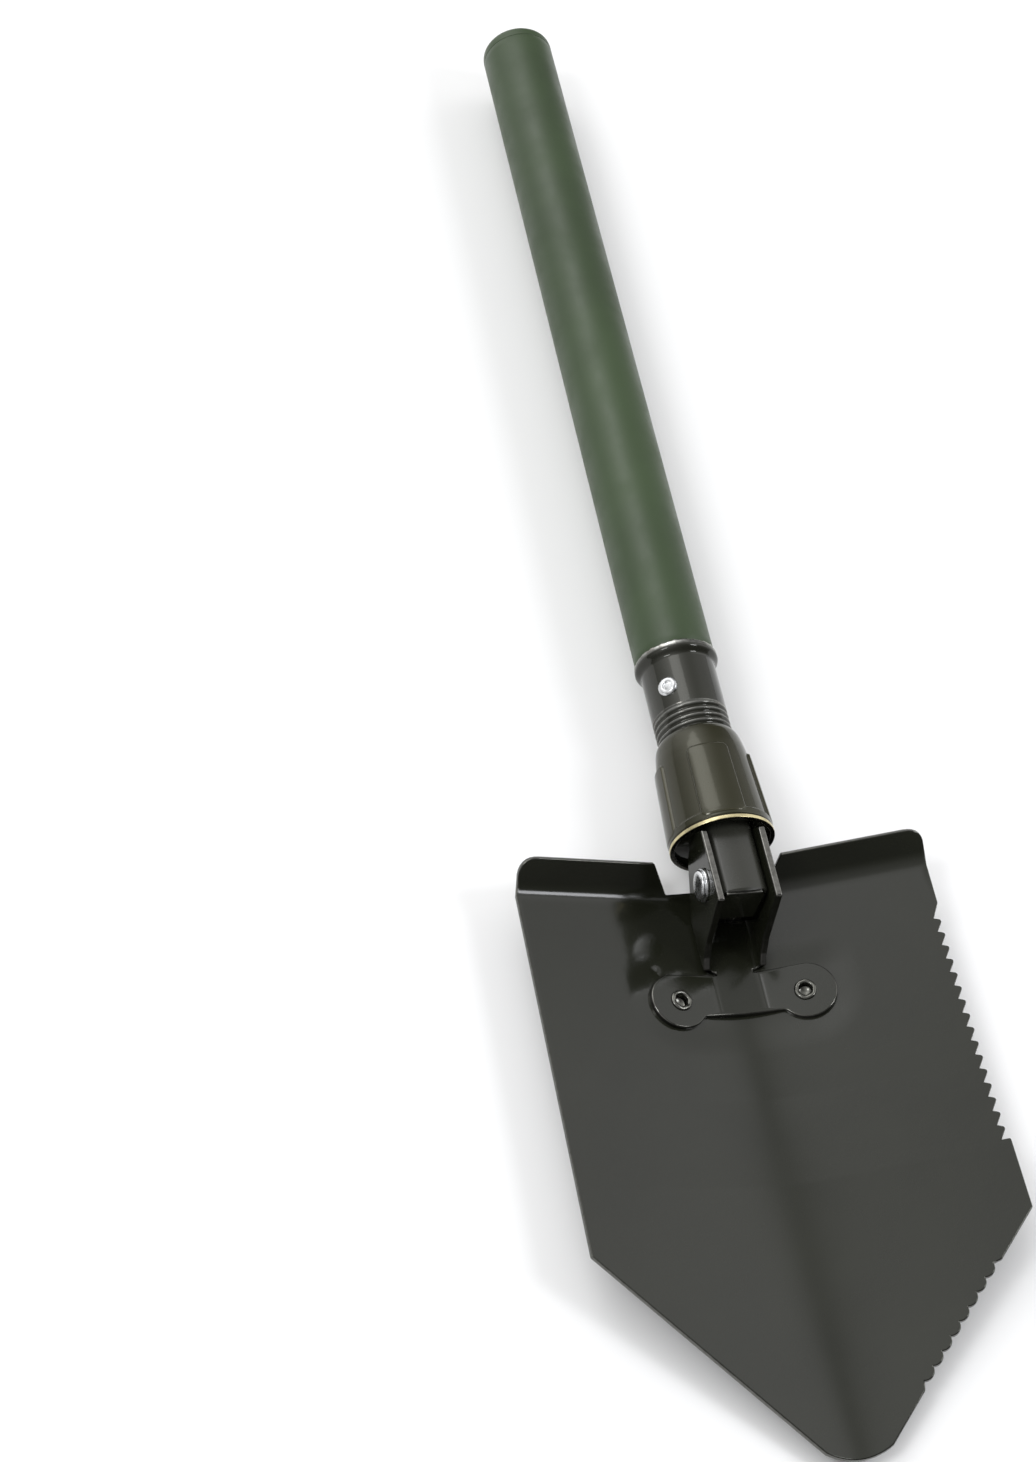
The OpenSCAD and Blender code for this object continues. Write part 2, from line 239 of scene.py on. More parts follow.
def offset_loop(loop, distance):
    """A closed 2-D loop moved to its left by the distance, along each corner's bisector."""
    p = np.asarray(loop, float)
    ahead = np.roll(p, -1, axis=0) - p
    ahead /= np.linalg.norm(ahead, axis=1)[:, None]
    left = np.stack([-ahead[:, 1], ahead[:, 0]], 1)
    before = np.roll(left, 1, axis=0)
    scale = np.maximum(1 + (left * before).sum(1), 0.35)
    return p + (left + before) / scale[:, None] * distance


def inside(points, loop):
    """Which points lie inside a closed loop."""
    x, y = points[:, 0][:, None], points[:, 1][:, None]
    a = np.asarray(loop, float)
    b = np.roll(a, -1, axis=0)
    crosses = (a[:, 1] > y) != (b[:, 1] > y)
    with np.errstate(divide="ignore", invalid="ignore"):
        at = (b[:, 0] - a[:, 0]) * (y - a[:, 1]) / (b[:, 1] - a[:, 1]) + a[:, 0]
    return (crosses & (x < at)).sum(1) % 2 == 1


def distance_to(points, loop):
    """Distance of each point from a closed loop."""
    a = np.asarray(loop, float)
    d = np.roll(a, -1, axis=0) - a
    length = (d * d).sum(1)
    best = np.full(len(points), 1e9)
    for k in range(len(a)):
        t = np.clip(((points - a[k]) @ d[k]) / length[k], 0, 1)
        gap = points - a[k] - t[:, None] * d[k]
        best = np.minimum(best, (gap * gap).sum(1))
    return np.sqrt(best)


def sheet_grid(inner, lo, hi, step, fine):
    """Points of a square grid that lie inside the first loop and outside the others, none close
    to a loop. Each entry of fine is a spot (u, v, radius, step) with a closer grid."""
    us = np.arange(lo[0], hi[0], step)
    vs = np.arange(lo[1], hi[1], step)
    grid = np.stack(np.meshgrid(us, vs), -1).reshape(-1, 2)
    for u, v, radius, close in fine:
        grid = grid[np.hypot(grid[:, 0] - u, grid[:, 1] - v) > radius]
        steps = np.arange(-radius, radius, close)
        patch = np.stack(np.meshgrid(steps + u, steps + v), -1).reshape(-1, 2)
        patch = patch[np.hypot(patch[:, 0] - u, patch[:, 1] - v) < radius - close / 2]
        grid = np.concatenate([grid, patch])
    grid = grid[inside(grid, inner[0])]
    for k, loop in enumerate(inner):
        if k and len(grid):
            grid = grid[~inside(grid, loop)]
        if len(grid):
            grid = grid[distance_to(grid, loop) > step * 0.45]
    return grid


def sheet_mesh(inner, grid):
    """The flat sheet's points and triangles, and for each loop the numbers of its points."""
    flat, edges = [], []
    for loop in inner:
        first = len(flat)
        flat += [Vector(p) for p in loop]
        edges += [(first + i, first + (i + 1) % len(loop)) for i in range(len(loop))]
    flat += [Vector(p) for p in grid]
    made = delaunay_2d_cdt(flat, edges, [], 0, 1e-6)
    uv = np.array([tuple(p) for p in made[0]], float)
    tris = np.array([f for f in made[2]], int)
    middle = uv[tris].mean(1)
    keep = inside(middle, inner[0])
    for loop in inner[1:]:
        keep &= ~inside(middle, loop)

    place = {o: new for new, old in enumerate(made[3]) for o in old}
    tops, start = [], 0
    for loop in inner:
        tops.append([place[start + i] for i in range(len(loop))])
        start += len(loop)
    return uv, tris[keep], tops


def face_normals(surface, at):
    """Unit normals of the surface at an array of (u, v)."""
    h = 0.02
    du = surface(at + [h, 0]) - surface(at - [h, 0])
    dv = surface(at + [0, h]) - surface(at - [0, h])
    n = np.cross(du, dv)
    return n / np.linalg.norm(n, axis=1)[:, None]


def sheet(name, outline, surface, thickness, step, rim=0.4, holes=(), fine=(), **piece):
    """Pressed sheet metal. outline is a counter-clockwise loop in the flat sheet's (u, v), holes are
    loops too, and surface maps an array of (u, v) to points on the sheet's face. The sheet has a
    rounded rim and its own exact normals. fine is as in sheet_grid."""
    loops = [np.asarray([tuple(p) for p in outline], float)]
    loops += [np.asarray([tuple(p) for p in hole], float)[::-1] for hole in holes]
    inner = [offset_loop(loop, rim) for loop in loops]
    grid = sheet_grid(inner, loops[0].min(0), loops[0].max(0), step, fine)
    uv, tris, tops = sheet_mesh(inner, grid)

    n = face_normals(surface, uv)
    front = surface(uv)
    verts = [front, front - n * thickness]
    normals = [n, -n]
    wear_and_painted_light = [np.zeros(len(uv)), np.zeros(len(uv))]
    count = len(uv)
    faces = [tuple(t) for t in tris] + [tuple(t[::-1] + count) for t in tris]
    total = 2 * count
    front_bends, back_bends = (30, 60, 90), (90, 120, 150)
    for loop, ring, top in zip(loops, inner, tops):
        size = len(loop)
        rows = [top]
        outer_n = face_normals(surface, loop)
        edge_dir = surface(loop) - surface(ring)
        edge_dir -= (edge_dir * outer_n).sum(1)[:, None] * outer_n
        edge_dir /= np.linalg.norm(edge_dir, axis=1)[:, None]
        for k, bend in enumerate(front_bends + back_bends):
            a = math.radians(bend)
            near = loop + (ring - loop) * (1 - math.sin(a))
            if k < len(front_bends):
                depth = rim * (1 - math.cos(a))
            else:
                depth = thickness - rim * (1 + math.cos(a))
            near_n = face_normals(surface, near)
            verts.append(surface(near) - near_n * depth)
            tilt = near_n * math.cos(a) + edge_dir * math.sin(a)
            normals.append(tilt / np.linalg.norm(tilt, axis=1)[:, None])
            wear_and_painted_light.append(np.full(size, math.sin(a)))
            rows.append(list(range(total, total + size)))
            total += size
        rows.append([i + count for i in top])
        for low, high in zip(rows, rows[1:]):
            for i in range(size):
                j = (i + 1) % size
                faces.append((low[i], high[i], high[j], low[j]))
    add_piece(
        name, np.concatenate(verts), faces,
        normals=np.concatenate(normals), wear_and_painted_light=np.concatenate(wear_and_painted_light), **piece
    )


# ---------------------------------------------------------------- materials


def maths(tree, operation, a, b):
    """A maths node in the tree; a and b are numbers or sockets."""
    node = tree.nodes.new("ShaderNodeMath")
    node.operation = operation
    for socket, value in zip(node.inputs, (a, b)):
        if isinstance(value, (int, float)):
            socket.default_value = value
        else:
            tree.links.new(value, socket)
    return node.outputs[0]


class Nodes:
    """A little help to write a material's node tree in a few lines."""

    def __init__(self, name):
        self.material = bpy.data.materials.new(name)
        self.material.use_nodes = True
        self.tree = self.material.node_tree
        self.shader = self.tree.nodes["Principled BSDF"]
        self.place = self.add("ShaderNodeTexCoord").outputs["Object"]

    def add(self, kind, **values):
        """A new node with its properties set."""
        node = self.tree.nodes.new(kind)
        for key, value in values.items():
            setattr(node, key, value)
        return node

    def link(self, a, b):
        self.tree.links.new(a, b)

    def noise(self, scale, detail=3.0, rough=0.5, distortion=0.0, stretch=None):
        """Noise over the object's own space, stretched by a scale on each axis."""
        node = self.add("ShaderNodeTexNoise")
        node.inputs["Scale"].default_value = scale
        node.inputs["Detail"].default_value = detail
        node.inputs["Roughness"].default_value = rough
        node.inputs["Distortion"].default_value = distortion
        source = self.place
        if stretch:
            mapping = self.add("ShaderNodeMapping")
            mapping.inputs["Scale"].default_value = stretch
            self.link(self.place, mapping.inputs["Vector"])
            source = mapping.outputs["Vector"]
        self.link(source, node.inputs["Vector"])
        return node.outputs["Fac"]

    def remap(self, value, low, high, to_low, to_high):
        """The value carried from one range to another, and held inside it."""
        node = self.add("ShaderNodeMapRange", clamp=True)
        self.link(value, node.inputs["Value"])
        for key, number in zip(
            ("From Min", "From Max", "To Min", "To Max"), (low, high, to_low, to_high)
        ):
            node.inputs[key].default_value = number
        return node.outputs["Result"]

    def mix(self, factor, a, b):
        """A blend of two colours, each a tuple or a socket."""
        node = self.add("ShaderNodeMix", data_type="RGBA")
        self.link(factor, node.inputs["Factor"])
        for key, value in (("A", a), ("B", b)):
            socket = [s for s in node.inputs if s.name == key and s.type == "RGBA"][0]
            if isinstance(value, (tuple, list)):
                socket.default_value = (*value[:3], 1)
            else:
                self.link(value, socket)
        return [s for s in node.outputs if s.type == "RGBA"][0]

    def bump(self, height, strength, distance, after=None):
        """A bump of the height, on top of another bump if one is given."""
        node = self.add("ShaderNodeBump")
        node.inputs["Strength"].default_value = strength
        node.inputs["Distance"].default_value = distance
        self.link(height, node.inputs["Height"])
        if after is not None:
            self.link(after, node.inputs["Normal"])
        return node.outputs["Normal"]

    def set(self, **values):
        """Uniform values on the shader's own sockets."""
        for key, value in values.items():
            self.shader.inputs[key.replace("_", " ")].default_value = value


def tint(colour, by):
    """The colour made lighter or darker."""
    return tuple(min(1.0, c * by) for c in colour)


def paint(name, colour, rough, edge=None, peel=0.00003, worn=(0.32, 0.31, 0.29), bare=(0.7, 0.85),
          metal=False, gleam=(1, 1, 1)):
    """Sprayed enamel: uneven tone, orange peel, fine dust, a pale colour on the edges, and spots
    rubbed to the metal where a noise is between the two values of bare. The pale edge colour is
    partly paint worn down on the edges and partly painted highlight, where rounded edges and pad
    borders catch the light. With metal the edges shine like the steel under the coat. The coat's own
    shine has the colour gleam."""
    m = Nodes(name)
    broad = m.remap(m.noise(14, 4, 0.6, 0.4), 0.35, 0.65, 0, 1)
    tone = m.mix(broad, tint(colour, 0.86), tint(colour, 1.14))
    speck = m.remap(m.noise(2200, 2, 0.6), 0.66, 0.74, 0, 0.35)
    tone = m.mix(speck, tone, tint(colour, 2.2))
    # Edges take the pale edge colour: partly worn-down paint, partly painted highlight on rounded
    # edges and on the collar's pad borders.
    rim = m.add("ShaderNodeAttribute", attribute_name="wear_and_painted_light").outputs["Fac"]
    edge_coat_and_highlight = maths(m.tree, "MULTIPLY", m.remap(m.noise(700, 3, 0.6), 0.3, 0.6, 0.6, 1), rim)
    tone = m.mix(edge_coat_and_highlight, tone, edge or tint(colour, 2.5))
    rub = maths(m.tree, "MULTIPLY", m.remap(m.noise(260, 4, 0.6, 0.3), *bare, 0, 0.8), rim)
    m.link(m.mix(rub, tone, worn), m.shader.inputs["Base Color"])
    if metal:
        m.link(m.remap(rim, 0.05, 0.35, 0, 1), m.shader.inputs["Metallic"])
    m.link(m.remap(m.noise(60, 5, 0.65), 0.3, 0.7, rough * 0.8, rough * 1.25),
           m.shader.inputs["Roughness"])
    fine = m.bump(m.noise(520, 2, 0.5), 0.35, peel)
    m.link(m.bump(m.noise(90, 2, 0.5), 0.25, peel * 3, fine), m.shader.inputs["Normal"])
    m.set(IOR=1.45, Specular_Tint=gleam + (1,))
    return m.material


def bare_metal(name, colour, rough, grain=900, dull=0.6, painted_shade=None):
    """Plated or bare steel: brushed grain, tarnish blotches, small scratches. A dark colour given as
    painted shade covers every part whose rubbing value is low."""
    m = Nodes(name)
    blotch = m.remap(m.noise(180, 4, 0.6, 0.3), 0.4, 0.68, 0, 1)
    tone = m.mix(blotch, colour, tint(colour, dull))
    # Painted shade: the dark colour covers every part whose attribute value is low.
    if painted_shade:
        rubbed = m.add("ShaderNodeAttribute", attribute_name="wear_and_painted_light").outputs["Fac"]
        tone = m.mix(m.remap(rubbed, 0.2, 0.9, 0, 1), painted_shade, tone)
    m.link(tone, m.shader.inputs["Base Color"])
    m.link(m.remap(m.noise(grain, 4, 0.7), 0.3, 0.7, rough * 0.7, rough * 1.4),
           m.shader.inputs["Roughness"])
    scratches = m.noise(grain, 3, 0.6, 0, (1, 6, 6))
    m.link(m.bump(scratches, 0.3, 0.00004), m.shader.inputs["Normal"])
    m.set(Metallic=1.0)
    return m.material


def core_wood(name):
    """Turned hardwood with rings and pores."""
    m = Nodes(name)
    rings = m.add("ShaderNodeTexWave", wave_type="RINGS")
    rings.inputs["Scale"].default_value = 180
    rings.inputs["Distortion"].default_value = 3
    m.link(m.place, rings.inputs["Vector"])
    tone = m.mix(rings.outputs["Fac"], (0.42, 0.28, 0.15), (0.62, 0.45, 0.27))
    m.link(m.mix(m.noise(900, 3, 0.6, 0, (6, 1, 6)), tone, (0.3, 0.19, 0.1)),
           m.shader.inputs["Base Color"])
    m.link(m.bump(rings.outputs["Fac"], 0.3, 0.0001), m.shader.inputs["Normal"])
    m.set(Roughness=0.65)
    return m.material


# The third colour of each paint is its pale edge colour: partly worn-down paint, partly painted
# highlight on rounded edges.
GREEN = paint("green_paint", (0.031, 0.053, 0.020), 0.42, (0.07, 0.09, 0.06))
BLADE = paint("blade_paint", (0.0125, 0.0135, 0.0085), 0.14, (0.13, 0.13, 0.12), metal=True)
# The bracket's copy of the blade paint, with a paler edge colour as painted highlight on the ears'
# lit edge strips.
LIT_EDGE_BLADE_PAINT = paint("bracket_paint_lit_edges", (0.0125, 0.0135, 0.0085), 0.14, (0.19, 0.187, 0.175), metal=True)
BLACK = paint("black_paint", (0.014, 0.0145, 0.010), 0.10, (0.62, 0.62, 0.59), bare=(0.55, 0.62),
              worn=(0.12, 0.09, 0.07), metal=True, gleam=(1, 1, 0.95))
SATIN = paint("tongue_paint", (0.028, 0.0285, 0.023), 0.26, (0.13, 0.13, 0.12), metal=True)
# Its edge colour paints the pale highlight lines along the collar pads' borders.
DRAB = paint("drab_paint", (0.014, 0.0135, 0.005), 0.13, (0.075, 0.07, 0.045),
             gleam=(1, 0.99, 0.86))
# The ring's dark colour is painted shade on every face but its outer band.
ZINC = bare_metal("yellow_zinc", (0.66, 0.58, 0.34), 0.26, painted_shade=(0.03, 0.027, 0.02))
STEEL = bare_metal("bright_steel", (0.78, 0.79, 0.80), 0.24)
DARK_STEEL = bare_metal("dark_steel", (0.10, 0.10, 0.09), 0.22, dull=1.8)
WOOD = core_wood("core_wood")

# ---------------------------------------------------------------- handle


def handle_pieces():
    """The green tube and the domed cap that closes its butt."""
    green = dict(material=GREEN, body="handle", slot="green_paint")
    axis = dict(segments=160, **HANDLE_AXIS)
    bore_r = GRIP_R - GRIP_WALL
    tube = [(bore_r, RIM_Y + 0.2), (GRIP_R - 0.25, RIM_Y + 0.2), (GRIP_R, RIM_Y + 0.5)]
    tube += [(GRIP_R, y) for y in np.linspace(RIM_Y + 4, CAP_Y - 3, 40)]
    tube += [(GRIP_R, CAP_Y - 0.25), (GRIP_R - 0.12, CAP_Y - 0.02), (bore_r, CAP_Y - 0.02)]
    turned("grip_tube_shell", tube, stands_for=["grip_tube"], **axis, **green)

    edge_r, crown_r, crown_h = 4.5, 10.5, 0.8
    plug_r = bore_r - 0.1
    cap = [(0, CAP_Y - 4), (plug_r, CAP_Y - 4), (plug_r, CAP_Y + 0.02),
           (GRIP_R - 0.12, CAP_Y + 0.02), (GRIP_R, CAP_Y + 0.15)]
    cap += [(GRIP_R - edge_r + edge_r * math.cos(a), BUTT_Y - 5 + 4.2 * math.sin(a))
            for a in np.linspace(0, math.pi / 2, 12)]
    cap += [(r, BUTT_Y - crown_h * (r / crown_r) ** 2) for r in (9, 7, 5, 3, 1.2)]
    cap += [(0, BUTT_Y)]
    turned("butt_cap_dome", cap, stands_for=["butt_cap"], **axis, **green)


def neck_socket():
    """Rim, bell, neck and the rolled thread, whose ridge is a true helix."""
    neck_low, thread_low, thread_top = 23.2, 25.0, 57.2
    bell_low, rim_low = 77.6, 80.4
    rim_top = RIM_Y + 0.9
    fine_top = 58.4     # the rows of points are close together up to here
    run_out = 1.2       # height over which the ridge melts into the neck
    first_turn = 0.3    # of the helix, in turns
    bare_at = -28       # middle of the lip's bare side, in degrees from the face towards +X

    def radius(y, a):
        """Outer radius: root, thread, neck, bell and rim."""
        if y <= thread_low:
            return ROOT_R
        if y < thread_top:
            phase = (y / PITCH - a / (2 * math.pi) + first_turn) % 1
            ridge = (0.5 + 0.5 * math.cos(2 * math.pi * phase)) ** 0.8
            fade = min(1, (thread_top - y) / run_out)
            return ROOT_R + (NECK_R - ROOT_R) * (ridge * fade + (1 - fade))
        return NECK_R + (RIM_R - NECK_R) * smooth((y - bell_low) / (rim_low - bell_low))

    def shape(r, h, a):
        """The outer wall takes its radius; the lip is a little wavy, as if filed by hand."""
        if r < ROOT_R - 0.5 or h > rim_low + 0.1:
            if h > rim_top - 0.5 and r > GRIP_R:
                wobble = 0.12 * math.sin(7 * a + 1) + 0.1 * math.sin(23 * a) + 0.07 * math.sin(41 * a)
                return r + 0.05 * math.sin(31 * a), h + wobble
            return r, h
        return radius(h, a), h

    def worn(r, h, a):
        """The lip is rubbed bare, most of all on the face's left side; the crests a little."""
        if thread_low < h < thread_top and r > ROOT_R:
            return 0.26 * ((radius(h, a) - ROOT_R) / (NECK_R - ROOT_R)) ** 5
        if h < rim_top - 1 or r < GRIP_R:
            return 0
        turn = (math.degrees(a) + 90 - bare_at + 180) % 360 - 180
        return 0.35 + 0.65 * math.exp(-(turn / 22) ** 2)

    outer = [(NECK_R, y) for y in np.arange(neck_low, fine_top, 0.2)]
    outer += [(NECK_R, y) for y in np.linspace(fine_top + 0.2, rim_low, 40)]
    lip = [(RIM_R, rim_low + 0.4), (RIM_R, rim_top - 0.9), (RIM_R - 0.1, rim_top - 0.45),
           (RIM_R - 0.35, rim_top - 0.12), (RIM_R - 0.65, rim_top), (GRIP_R + 0.08, rim_top),
           (GRIP_R + 0.02, rim_top - 0.3)]
    bore = [(NECK_BORE_R, rim_top - 0.3), (NECK_BORE_R, 26.0), (ROOT_R - 0.9, neck_low)]
    profile = [(r, float(y)) for r, y in outer + lip + bore]
    turned("neck_socket", profile, segments=192, shape=shape, worn=worn, **HANDLE_AXIS,
           material=BLACK, body="handle", slot="black_paint", stands_for=["neck"])


def neck_tongue():
    """The neck's flattened end: a folded channel with a crowned face, open at the back."""
    corner, crown_r = 3.0, 22.0
    flat = TONGUE_HALF - corner
    arc = corner * math.pi / 2
    side = TONGUE_TOP - corner - TONGUE_LOW - TONGUE_HALF ** 2 / 2 / crown_r
    width = flat + arc + side
    hidden_y = 26       # the upper end, inside the neck

    def surface(uv):
        u, v = uv[:, 0], uv[:, 1]
        s = np.abs(u)
        a = np.clip((s - flat) / corner, 0, math.pi / 2)
        x = np.minimum(s, flat) + corner * np.sin(a)
        z = TONGUE_TOP - corner * (1 - np.cos(a)) - x * x / 2 / crown_r
        return np.stack([np.sign(u) * x, v, z - np.maximum(s - flat - arc, 0)], 1)

    outline = rounded(
        [(-width, TONGUE_END), (width, TONGUE_END), (width, hidden_y), (-width, hidden_y)],
        [1.5, 1.5, 0, 0]
    )
    place = dict(body="handle", slot="black_paint", stands_for=["neck"])
    sheet("neck_tongue", outline, surface, SHEET_T, 1.0, rim=0.6, material=SATIN, **place)

    wall_x, wall_top, wall_low = TONGUE_HALF - 1.7, TONGUE_TOP - 1.9, TONGUE_LOW + 0.5
    section = rounded(
        [(-wall_x, wall_low), (wall_x, wall_low), (wall_x, wall_top), (-wall_x, wall_top)],
        [0.5, 0.5, 1.5, 1.5]
    )

    def end_wall(uv):
        return np.stack([uv[:, 0], np.full(len(uv), TONGUE_END + 0.7), uv[:, 1]], 1)

    sheet("neck_tongue_end", section, end_wall, SHEET_T, 1.5, rim=0.3, material=BLADE, **place)


def neck_rivet():
    """Bright rivet with a crescent left by the setting tool."""
    turn = math.radians(-41)
    axis = Vector((math.sin(turn), 0, math.cos(turn)))
    head_r, shank_r, shank_low = 3.75, 2.8, 9.0
    groove_r, groove_w, groove_deep, groove_at = 1.6, 0.36, 0.8, 2.3

    def shape(r, h, a):
        """A crescent groove round a point a little off the middle."""
        if h < NECK_R:
            return r, h
        x, y = r * math.cos(a) - 0.3, r * math.sin(a) + 0.2
        groove = math.exp(-((math.hypot(x, y) - groove_r) / groove_w) ** 2)
        one_side = (0.5 + 0.5 * math.cos(math.atan2(y, x) - groove_at)) ** 2.5
        return r, h - groove_deep * groove * one_side

    face = NECK_R + 1.0
    profile = [(0, shank_low), (shank_r, shank_low), (shank_r, NECK_R - 0.8),
               (head_r, NECK_R - 0.8)]
    profile += [(head_r, face - 0.75), (head_r - 0.15, face - 0.5), (head_r - 0.65, face - 0.1)]
    profile += [(r, face + 0.12 * (1 - (r / head_r) ** 2))
                for r in np.linspace(head_r - 0.9, 0.15, 20)]
    profile += [(0, face + 0.12)]
    for name, way in (("neck_rivet_front", 1), ("neck_rivet_back", -1)):
        turned(name, profile, (0, NECK_RIVET_Y, 0), axis * way, 96, shape=shape,
               material=STEEL, body="handle", slot="bright_steel", stands_for=["neck_rivet"])


# ---------------------------------------------------------------- lock collar


def lock_collar():
    """Tapered collar with a flange at its mouth and four raised finger pads."""
    flange_top = 7.9
    lip_r, seat_r, bore_r = 18.05, 16, 14.2
    seat_top, bore_low = 24, 26
    pad_low, pad_top, pad_half = 6.6, 36.0, math.radians(25.2)
    pad_corner, pad_edge = 2.2, 0.9
    first = math.radians(-98.7)
    body_y = (flange_top + 0.7, 33.5, 38.4, 42.4, 44.6, 45.6, COLLAR_TOP)
    body_r = (18.35, 17.1, 16.7, 16.05, 15.5, 15.05, 14.5)

    def pad(y, a):
        """How far a place has risen onto a pad, from 0 to 1. The pads' corners are round."""
        turn = (a - first + math.pi / 4) % (math.pi / 2) - math.pi / 4
        across = (pad_half - abs(turn)) * (COLLAR_R - 1)
        along = min(y - pad_low, pad_top - y)
        if across < pad_corner and along < pad_corner:
            reach = pad_corner - math.hypot(pad_corner - across, pad_corner - along)
        else:
            reach = min(across, along)
        return smooth((reach + pad_edge / 3) / pad_edge)

    def outer(y):
        """Radius between the pads; a fair curve over the crown."""
        if y < flange_top:
            return COLLAR_R
        if y < body_y[0]:
            t = (y - flange_top) / (body_y[0] - flange_top)
            return COLLAR_R + (body_r[0] - COLLAR_R) * smooth(t)
        return sum(np.interp(y + d, body_y, body_r) for d in (-1.2, -0.6, 0, 0.6, 1.2)) / 5

    def shape(r, h, a):
        """The outer wall rises onto the pads; the inner wall and the two ends stay."""
        inner_wall = r < 15.5 or r in (lip_r, seat_r)
        if inner_wall or h <= COLLAR_LOW + 0.3 or h > COLLAR_TOP - 0.5:
            return r, h
        rise = pad(h, a)
        flush = outer(max(h, body_y[0])) + PAD_H
        return outer(h) * (1 - rise) + max(flush, outer(h)) * rise, h

    def worn(r, h, a):
        """Painted highlight: fine pale lines along the pads' borders, where their edges catch the
        light.
        """
        if r < 16.5 or h < pad_low - 1 or h > COLLAR_TOP - 2:
            return 0
        rise = pad(h, a)
        return 0.8 * max(0, 1 - abs(rise - 0.8) * 5)

    profile = [(lip_r, COLLAR_LOW), (COLLAR_R - 0.3, COLLAR_LOW),
               (COLLAR_R - 0.06, COLLAR_LOW + 0.12)]
    profile += [(outer(y), y) for y in np.arange(COLLAR_LOW + 0.35, COLLAR_TOP - 0.4, 0.25)]
    profile += [(bore_r + 0.5, COLLAR_TOP - 0.05), (bore_r + 0.2, COLLAR_TOP),
                (bore_r, COLLAR_TOP - 0.3), (bore_r, bore_low), (seat_r, seat_top),
                (seat_r, flange_top), (lip_r, flange_top)]
    profile = [(float(r), float(y)) for r, y in profile]
    turned("lock_collar_body", profile, segments=400, shape=shape, worn=worn, **HANDLE_AXIS,
           material=DRAB, body="collar", slot="drab_paint", stands_for=["lock_collar"])


def mouth_ring():
    """Zinc-plated ring at the collar's mouth: bare zinc on its outer band, and all its other faces
    painted near black as painted shade for the dark mouth.
    """
    bore_r, band_r, neck_r = 17.4, COLLAR_R + 0.1, COLLAR_R - 0.05
    band_top = 4.75

    # 1 on the outer band; 0 elsewhere, where the material paints shade.
    def plated(r, h, a):
        return 1.0 if r > neck_r - 0.05 and MOUTH_Y + 0.15 < h < band_top + 0.05 else 0.0

    ring = rounded(
        [(bore_r, MOUTH_Y), (band_r, MOUTH_Y), (band_r, band_top), (neck_r, band_top + 0.1),
         (neck_r, COLLAR_LOW), (bore_r, COLLAR_LOW)],
        [0.35, 0.35, 0, 0, 0.1, 0.1], 4
    )
    turned("mouth_ring_band", [tuple(p) for p in ring], segments=192, worn=plated, **HANDLE_AXIS,
           material=ZINC, body="collar", slot="yellow_zinc", stands_for=["mouth_ring"])


def lock_plate():
    """Disc inside the mouth, with a slot that the tongue passes through."""
    gap = 0.3
    slot_x, slot_low, slot_top = TONGUE_HALF + gap, TONGUE_LOW - gap, TONGUE_TOP + gap
    slot = rounded(
        [(-slot_x, slot_low), (slot_x, slot_low), (slot_x, slot_top), (-slot_x, slot_top)],
        [1, 1, 3, 3]
    )

    def surface(uv):
        return np.stack([uv[:, 0], np.full(len(uv), PLATE_LOW), uv[:, 1]], 1)

    disc = circle(0, 0, 17.75, 96)
    sheet("lock_plate_disc", disc, surface, SHEET_T, 2.0, rim=0.3, holes=[slot],
          material=BLACK, body="lock_plate", slot="black_paint", stands_for=["lock_plate"])


# ---------------------------------------------------------------- blade


RIVET_HOLES = [circle(side * RIVET_X, LUG_Y, HOLE_R, 32) for side in (-1, 1)]


def blade_face(x, y):
    """Height of the blade's face: the dish, the pocket round the bracket and the lifted tip."""
    valley = np.interp(y, [-213, -160, -118, -86, -60, 0], [5, 9, 11.5, 7, 8, 9])
    dish = -24.1 + 0.24 * np.sqrt(x * x + valley * valley)
    lift = 0.000381 * np.minimum(y + 100, 0) ** 2

    pocket_half, pocket_low, corner, slope = 38, -63, 16, 14.0
    past_x = np.maximum(np.abs(x) - (pocket_half - corner), 0)
    past_y = np.maximum(pocket_low + corner - y, 0)
    outside = np.hypot(past_x, past_y) - corner
    drop = 0.5 * (1 - smooth((outside + 8.0) / slope)) * smooth((-28 - y) / 12)

    dent_w = 1.2
    dent_r2 = (x - DENT[0]) ** 2 + (y - DENT[1]) ** 2
    dent = 0.4 * np.exp(-dent_r2 / (2 * dent_w ** 2))
    return dish + lift - drop - dent


